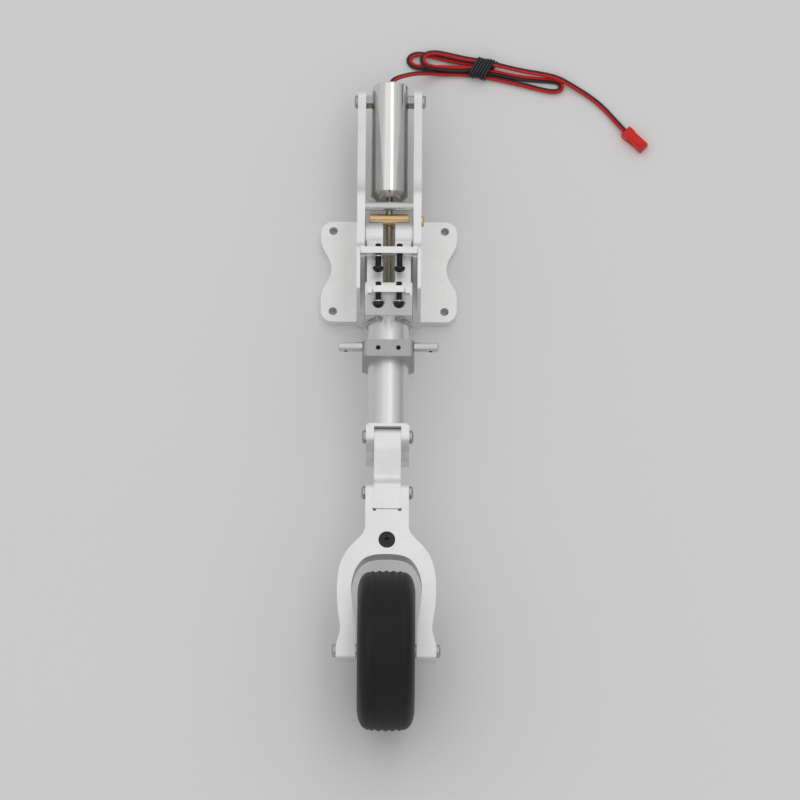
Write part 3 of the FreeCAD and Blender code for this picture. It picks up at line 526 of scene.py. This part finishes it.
class LEG_OT_stage(bpy.types.Operator):
    """Floor, surroundings, lamps and camera."""
    bl_idname = "leg.stage"
    bl_label = "Stage"

    def execute(self, context):
        props = context.scene.leg_stage
        self.make_floor(props)
        self.make_world(props)
        self.make_lamps()
        self.make_camera(context, props)
        context.scene.view_settings.view_transform = "Standard"
        return {"FINISHED"}

    def make_floor(self, props):
        half = FLOOR_HALF
        corners = [(-half, -half, 0), (half, -half, 0), (half, half, 0), (-half, half, 0)]
        floor_finish = bpy.data.materials.new("Pale floor")
        floor_finish.use_nodes = True
        shader = floor_finish.node_tree.nodes["Principled BSDF"]
        shader.inputs["Base Color"].default_value = (*props.floor, 1)
        shader.inputs["Roughness"].default_value = 0.9
        shader.inputs["Specular IOR Level"].default_value = 0.0
        floor = mesh_object("pale_floor", corners, [(0, 1, 2, 3)], [floor_finish], smooth=False)

    def make_world(self, props):
        """Surroundings that are brighter overhead than near the horizon."""
        world = bpy.data.worlds.new("Pale surroundings")
        world.use_nodes = True
        tree = world.node_tree
        ground = tree.nodes["Background"]
        place = tree.nodes.new("ShaderNodeTexCoord")
        split = tree.nodes.new("ShaderNodeSeparateXYZ")
        ramp = tree.nodes.new("ShaderNodeValToRGB")
        ramp.color_ramp.elements[0].position = 0.0
        ramp.color_ramp.elements[0].color = (*WORLD_HORIZON, 1)
        ramp.color_ramp.elements[1].position = 1.0
        ramp.color_ramp.elements[1].color = (*WORLD_ZENITH, 1)
        tree.links.new(place.outputs["Generated"], split.inputs[0])
        side = math_node(tree, "MULTIPLY", split.outputs["X"], WORLD_SIDE_SLOPE)
        back = math_node(tree, "MULTIPLY", split.outputs["Y"], WORLD_BACK_SLOPE)
        height = math_node(tree, "ADD", split.outputs["Z"], math_node(tree, "ADD", side, back))
        tree.links.new(height, ramp.inputs["Fac"])
        edge = tree.nodes.new("ShaderNodeValToRGB")
        edge.color_ramp.elements[0].position = WORLD_EDGE_SPAN[0]
        edge.color_ramp.elements[0].color = (1, 1, 1, 1)
        edge.color_ramp.elements[1].position = WORLD_EDGE_SPAN[1]
        edge.color_ramp.elements[1].color = (*WORLD_EDGE_TONE, 1)
        half = math_node(tree, "MULTIPLY", split.outputs["X"], 0.5)
        tree.links.new(math_node(tree, "ADD", half, 0.5), edge.inputs["Fac"])
        both = add_node(tree, "ShaderNodeMix", data_type="RGBA", blend_type="MULTIPLY")
        both.inputs["Factor"].default_value = 1.0
        tree.links.new(ramp.outputs["Color"], both.inputs["A"])
        tree.links.new(edge.outputs["Color"], both.inputs["B"])
        tree.links.new(both.outputs["Result"], ground.inputs["Color"])
        bpy.context.scene.world = world

    def make_lamps(self):
        """Rectangular lamps overhead, shining straight down."""
        for name, x, size, power in LAMPS:
            lamp = bpy.data.lights.new(name, "AREA")
            lamp.shape = "RECTANGLE"
            lamp.size, lamp.size_y = size
            lamp.energy = power
            thing = bpy.data.objects.new(name, lamp)
            thing.location = (x, LAMP_Y, LAMP_HEIGHT)
            bpy.context.scene.collection.objects.link(thing)

    def make_camera(self, context, props):
        lens = bpy.data.cameras.new("Camera")
        lens.sensor_width = SENSOR_WIDTH
        lens.lens = lens.sensor_width * props.camera_distance / props.field
        lens.clip_start = 0.01
        camera = bpy.data.objects.new("Camera", lens)
        away = Vector((0, -math.cos(props.elevation), math.sin(props.elevation)))
        camera.location = Vector(AIM) + away * props.camera_distance
        level = (-away).to_track_quat("-Z", "Y")
        camera.rotation_euler = (level @ Quaternion((0, 0, 1), props.roll)).to_euler()
        context.scene.collection.objects.link(camera)
        context.scene.camera = camera


class LEG_OT_finishes(bpy.types.Operator):
    """Give every carried-over piece its finish."""
    bl_idname = "leg.finishes"
    bl_label = "Finishes"

    def execute(self, context):
        slots = {row["node"]: row["material_slot"] for row in frame["record"]["subparts"]}
        for node, thing in frame["nodes"].items():
            finish = finish_of(slots[node])
            thing.data.materials.clear()
            thing.data.materials.append(finish)
        return {"FINISHED"}


class LEG_OT_lead(bpy.types.Operator):
    """Twin lead with its hank, wrap tie and connector."""
    bl_idname = "leg.lead"
    bl_label = "Lead"

    def execute(self, context):
        tie = self.make_tie()
        plug = self.make_plug()
        self.make_wires(context.scene.leg_lead, tie, plug)
        return {"FINISHED"}

    def make_wires(self, props, tie, plug):
        route = metres(LEAD_RUN + HANK_LOOPS + LEAD_TAIL)
        path = spline_points("lead_line", route, LEAD_RESOLUTION)
        upward = Vector((0, 0, 1))
        radius = props.wire_diameter / 2
        apart = radius * PAIR_SPACING
        red = tube_mesh(path, upward, radius, WIRE_SIDES, apart, PAIR_ROLL)
        black = tube_mesh(path, upward, radius, WIRE_SIDES, -apart, PAIR_ROLL)
        vertices, faces = join_lists([red, black])
        lead = mesh_object("twin_lead", vertices, faces, [finish_of("lead_wire"), finish_of("black_wire")])
        first_black = len(red[0])
        for face in lead.data.polygons:
            if min(face.vertices) >= first_black:
                face.material_index = 1
        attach(lead, "frame")
        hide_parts("lead_run", "lead_hank", "lead_tail")

    def make_tie(self):
        low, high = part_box("lead_tie")
        centre = (low + high) / 2
        middle = Vector((centre.x + TIE_SHIFT, centre.y, TIE_HALF_TALL + TIE_LIFT))
        across = Vector((math.cos(TIE_HEADING), math.sin(TIE_HEADING), 0))
        beside = Vector((-across.y, across.x, 0))
        steps = TIE_TURNS * TIE_STEPS
        path = []
        for i in range(steps + 1):
            angle = TURN * TIE_TURNS * i / steps
            wide = math.copysign(abs(math.cos(angle)) ** 0.7, math.cos(angle))
            tall = math.copysign(abs(math.sin(angle)) ** 0.75, math.sin(angle))
            uneven = 1 + 0.05 * math.sin(i * 0.11) + 0.03 * math.sin(i * 0.037)
            drift = (i / steps - 0.5) * TIE_DRIFT + TIE_SLANT * wide
            place = middle + across * drift
            place += beside * (wide * TIE_HALF_WIDE * uneven)
            path.append(place + Vector((0, 0, tall * TIE_HALF_TALL)))
        strand = tube_mesh(path, across, TIE_STRAND, 10)
        tie = mesh_object("wrap_tie", *strand, [finish_of("tie_plastic")])
        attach(tie, "frame")
        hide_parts("lead_tie")
        return tie

    def make_plug(self):
        work = bmesh.new()
        end = Vector((*LEAD_TAIL[-1][:2], 0)) * MM
        turn = Matrix.Translation(end) @ Matrix.Rotation(PLUG_HEADING, 4, "Z")
        for place, size in PLUG_BODY + PLUG_RAIL + PLUG_CHEEKS + PLUG_WINDOWS:
            made = bmesh.ops.create_cube(work, size=1)
            for vertex in made["verts"]:
                vertex.co = Vector((vertex.co.x * size[0], vertex.co.y * size[1], vertex.co.z * size[2]))
                vertex.co = (vertex.co + Vector(place)) * MM
        bmesh.ops.bevel(work, geom=work.edges[:], offset=PLUG_EDGE, segments=2, affect="EDGES")
        bmesh.ops.transform(work, matrix=turn, verts=work.verts)
        mesh = bpy.data.meshes.new("two_pin_plug")
        work.to_mesh(mesh)
        work.free()
        mesh.materials.append(finish_of("plug_plastic"))
        plug = bpy.data.objects.new("two_pin_plug", mesh)
        bpy.context.scene.collection.objects.link(plug)
        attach(plug, "frame")
        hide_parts("lead_plug")
        return plug


class LEG_OT_threads(bpy.types.Operator):
    """Threaded lead screw and threaded black stop screws."""
    bl_idname = "leg.threads"
    bl_label = "Threads"

    def execute(self, context):
        low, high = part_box("lead_screw")
        centre = (low + high) / 2
        rod = threaded_rod((centre.x, low.y, centre.z), (0, 1, 0), high.y - low.y, (high.x - low.x) / 2,
                           LEAD_SCREW_PITCH * MM, 28, 0.2)
        screw = mesh_object("threaded_lead_screw", *rod, [finish_of("lead_bronze")])
        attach(screw, "lead_screw")
        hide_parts("lead_screw")
        self.make_stop_screws()
        return {"FINISHED"}

    def make_stop_screws(self):
        """Black button-head screws of the bridge bar and of the ledge."""
        for node, seats, length in STOP_SCREWS:
            parts = []
            for place in seats:
                seat = Vector(place) * MM
                head = lathe(metres(BUTTON_HEAD), seat, (0, -1, 0), 40)
                rod = threaded_rod(seat, (0, 1, 0), length * MM, STOP_RADIUS * MM, STOP_PITCH * MM, 18, 0.16)
                parts += [head, rod]
            screws = mesh_object("black_" + node, *join_lists(parts), [finish_of("black_oxide")])
            sharpen(screws, 38)
            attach(screws, "trunnion")
            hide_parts(node)


class LEG_OT_tyre(bpy.types.Operator):
    """Ribbed tyre with rounded shoulders, bead and mould gate."""
    bl_idname = "leg.tyre"
    bl_label = "Tyre"

    def execute(self, context):
        low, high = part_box("tyre")
        centre = (low + high) / 2
        outer = (high.z - low.z) / 2
        half = (high.x - low.x) / 2
        body = lathe(self.profile(outer, half), centre, (1, 0, 0), 160)
        gate = self.mould_gate(centre, outer)
        tyre = mesh_object("ribbed_tyre", *join_lists([body, gate]), [finish_of("rubber_tyre")])
        sharpen(tyre, 50)
        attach(tyre, "wheel")
        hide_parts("tyre")
        return {"FINISHED"}

    def mould_gate(self, centre, outer):
        """Small torn ring left by the mould gate, sitting in the tread."""
        outward = Vector((0, -math.sin(GATE_LEAN), math.cos(GATE_LEAN)))
        seat = Vector(centre) + outward * (outer - GATE_SUNK) + Vector((GATE_ASIDE, 0, 0))
        return lathe(metres(GATE_RING), seat, outward, 28)

    def profile(self, outer, half):
        """(along, radius) loop: bead, side wall, shoulder, ribs, and back."""
        right = [(half * part, radius * MM) for part, radius in SIDE_WALL]
        tread = TREAD_SHARE * half
        step = 2 * tread / RIBS
        crown = []
        for k in range(RIBS):
            middle = tread - step * (k + 0.5)
            bow = TREAD_BOW * (middle / tread) ** 2
            for part, drop in RIB_SHAPE:
                crown.append((middle + part * step, outer - drop * MM - bow))
        left = [(-along, radius) for along, radius in reversed(right)]
        return right + crown + left


class LEG_PT_panel(bpy.types.Panel):
    """Sidebar panel that lists the steps."""
    bl_idname = "LEG_PT_panel"
    bl_label = "Retract Leg"
    bl_space_type = "VIEW_3D"
    bl_region_type = "UI"
    bl_category = "Retract Leg"

    def draw(self, context):
        for operator in OPERATORS:
            self.layout.operator(operator.bl_idname)


PROPERTIES = {"leg_finish": LegFinishProps, "leg_lead": LeadProps, "leg_stage": StageProps}
OPERATORS = [LEG_OT_stage, LEG_OT_lead, LEG_OT_finishes, LEG_OT_threads, LEG_OT_tyre]


def register():
    """Register the classes and attach the properties to the scene."""
    for kind in list(PROPERTIES.values()) + OPERATORS + [LEG_PT_panel]:
        bpy.utils.register_class(kind)
    for name, kind in PROPERTIES.items():
        setattr(bpy.types.Scene, name, bpy.props.PointerProperty(type=kind))


def unregister():
    """Undo register."""
    for name in PROPERTIES:
        delattr(bpy.types.Scene, name)
    for kind in reversed(list(PROPERTIES.values()) + OPERATORS + [LEG_PT_panel]):
        bpy.utils.unregister_class(kind)


def main():
    """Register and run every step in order."""
    register()
    bpy.ops.leg.stage()
    bpy.ops.leg.lead()
    bpy.ops.leg.finishes()
    bpy.ops.leg.threads()
    bpy.ops.leg.tyre()


if __name__ == "__main__":
    main()
